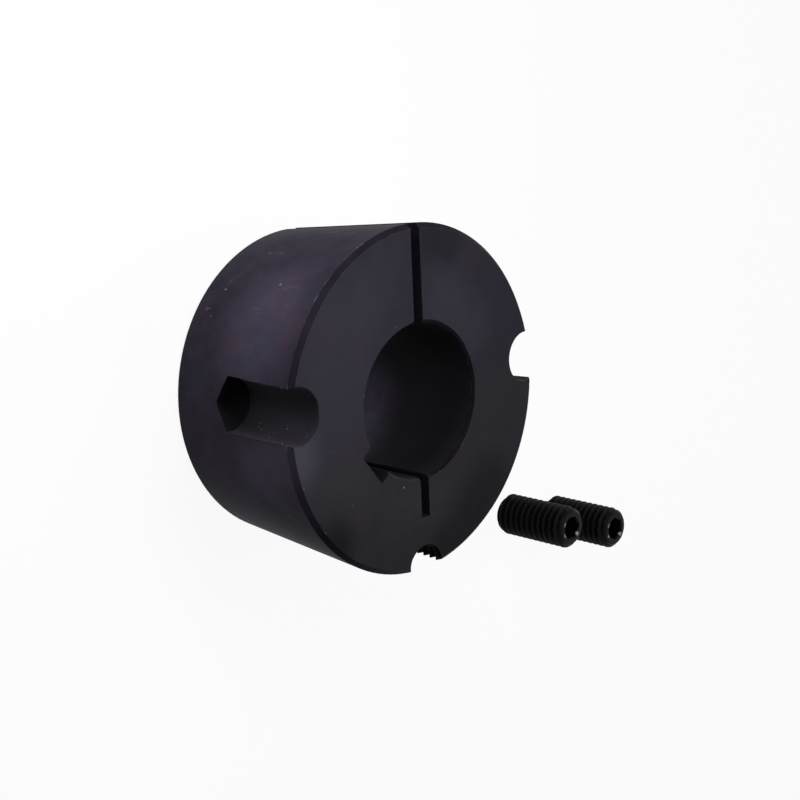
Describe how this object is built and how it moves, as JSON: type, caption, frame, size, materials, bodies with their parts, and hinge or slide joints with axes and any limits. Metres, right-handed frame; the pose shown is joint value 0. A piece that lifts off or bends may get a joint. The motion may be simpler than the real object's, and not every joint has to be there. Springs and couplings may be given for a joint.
{
  "type": "taper bush",
  "caption": "Split taper bush with a keyed bore, blind half-holes down its rim, and its grub screws standing beside it.",
  "frame": {"origin": "on the bore's axis, in the plane of the small end face, which the bush stands on", "axes": "+Z along the bore towards the large end face; +Y towards the split; the relief slot and the jacking half-hole are on -Y"},
  "size_m": [0.156, 0.114, 0.0444],
  "materials": {
    "black_iron": "machined cast iron, blackened and oiled, satin",
    "black_steel": "black oxide steel, low gloss"
  },
  "bodies": {
    "root": {"taper_bush": "black_iron", "grub_screw_1": "black_steel", "grub_screw_2": "black_steel"}
  },
  "joints": []
}
